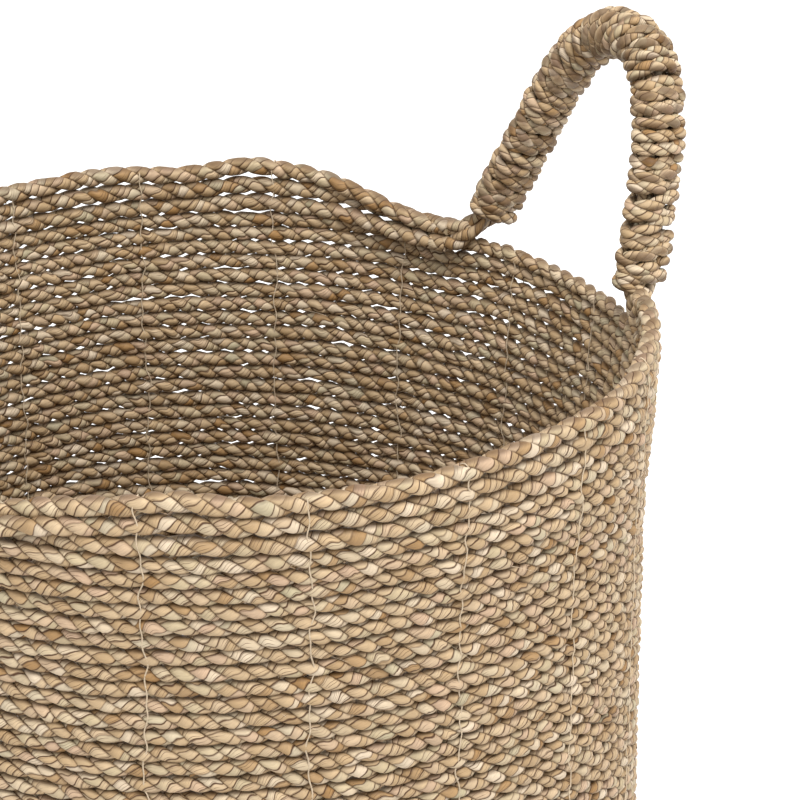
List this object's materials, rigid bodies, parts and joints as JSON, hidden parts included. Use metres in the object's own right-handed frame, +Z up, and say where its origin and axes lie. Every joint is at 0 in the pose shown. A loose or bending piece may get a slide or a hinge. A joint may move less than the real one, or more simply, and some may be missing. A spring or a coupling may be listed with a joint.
{
  "type": "seagrass storage basket",
  "caption": "Round open storage basket coiled from twisted seagrass rope, with sprung rope-bound arch handles that lean inward and outward.",
  "frame": {"origin": "centre of the underside, on the surface that the basket stands on", "axes": "+Z up; the two handles stand on +X and -X, and lean about lines parallel to Y"},
  "size_m": [0.478, 0.4116, 0.4838],
  "materials": {
    "seagrass_rope": "twisted dried seagrass, matte with a slight waxy sheen",
    "binding_rope": "twisted dried seagrass, paler, matte with a slight waxy sheen",
    "sewing_thread": "thin matte twine"
  },
  "bodies": {
    "basket": {"base_coil": "seagrass_rope", "wall_coil": "seagrass_rope", "rim_rope_back_1": "seagrass_rope", "rim_rope_back_2": "seagrass_rope", "rim_rope_back_3": "seagrass_rope", "rim_rope_front_1": "seagrass_rope", "rim_rope_front_2": "seagrass_rope", "rim_rope_front_3": "seagrass_rope", "sewing_thread_01": "sewing_thread", "sewing_thread_02": "sewing_thread", "sewing_thread_03": "sewing_thread", "sewing_thread_04": "sewing_thread", "sewing_thread_05": "sewing_thread", "sewing_thread_06": "sewing_thread", "sewing_thread_07": "sewing_thread", "sewing_thread_08": "sewing_thread", "sewing_thread_09": "sewing_thread", "sewing_thread_10": "sewing_thread", "sewing_thread_11": "sewing_thread", "sewing_thread_12": "sewing_thread", "sewing_thread_13": "sewing_thread", "sewing_thread_14": "sewing_thread", "sewing_thread_15": "sewing_thread", "sewing_thread_16": "sewing_thread", "sewing_thread_17": "sewing_thread", "sewing_thread_18": "sewing_thread"},
    "right_handle": {"right_handle_core_rope_inner": "seagrass_rope", "right_handle_core_rope_outer": "seagrass_rope", "right_handle_binding": "binding_rope"},
    "left_handle": {"left_handle_core_rope_inner": "seagrass_rope", "left_handle_core_rope_outer": "seagrass_rope", "left_handle_binding": "binding_rope"}
  },
  "joints": [
    {"name": "right_handle_lean", "type": "hinge", "parent": "basket", "child": "right_handle", "pos_m": [0.1895, 0, 0.361], "axis": [0, 1, 0], "range_deg": [-50, 40], "stiffness_Nm_per_rad": 3},
    {"name": "left_handle_lean", "type": "hinge", "parent": "basket", "child": "left_handle", "pos_m": [-0.1895, 0, 0.361], "axis": [0, -1, 0], "range_deg": [-50, 40], "stiffness_Nm_per_rad": 3}
  ]
}
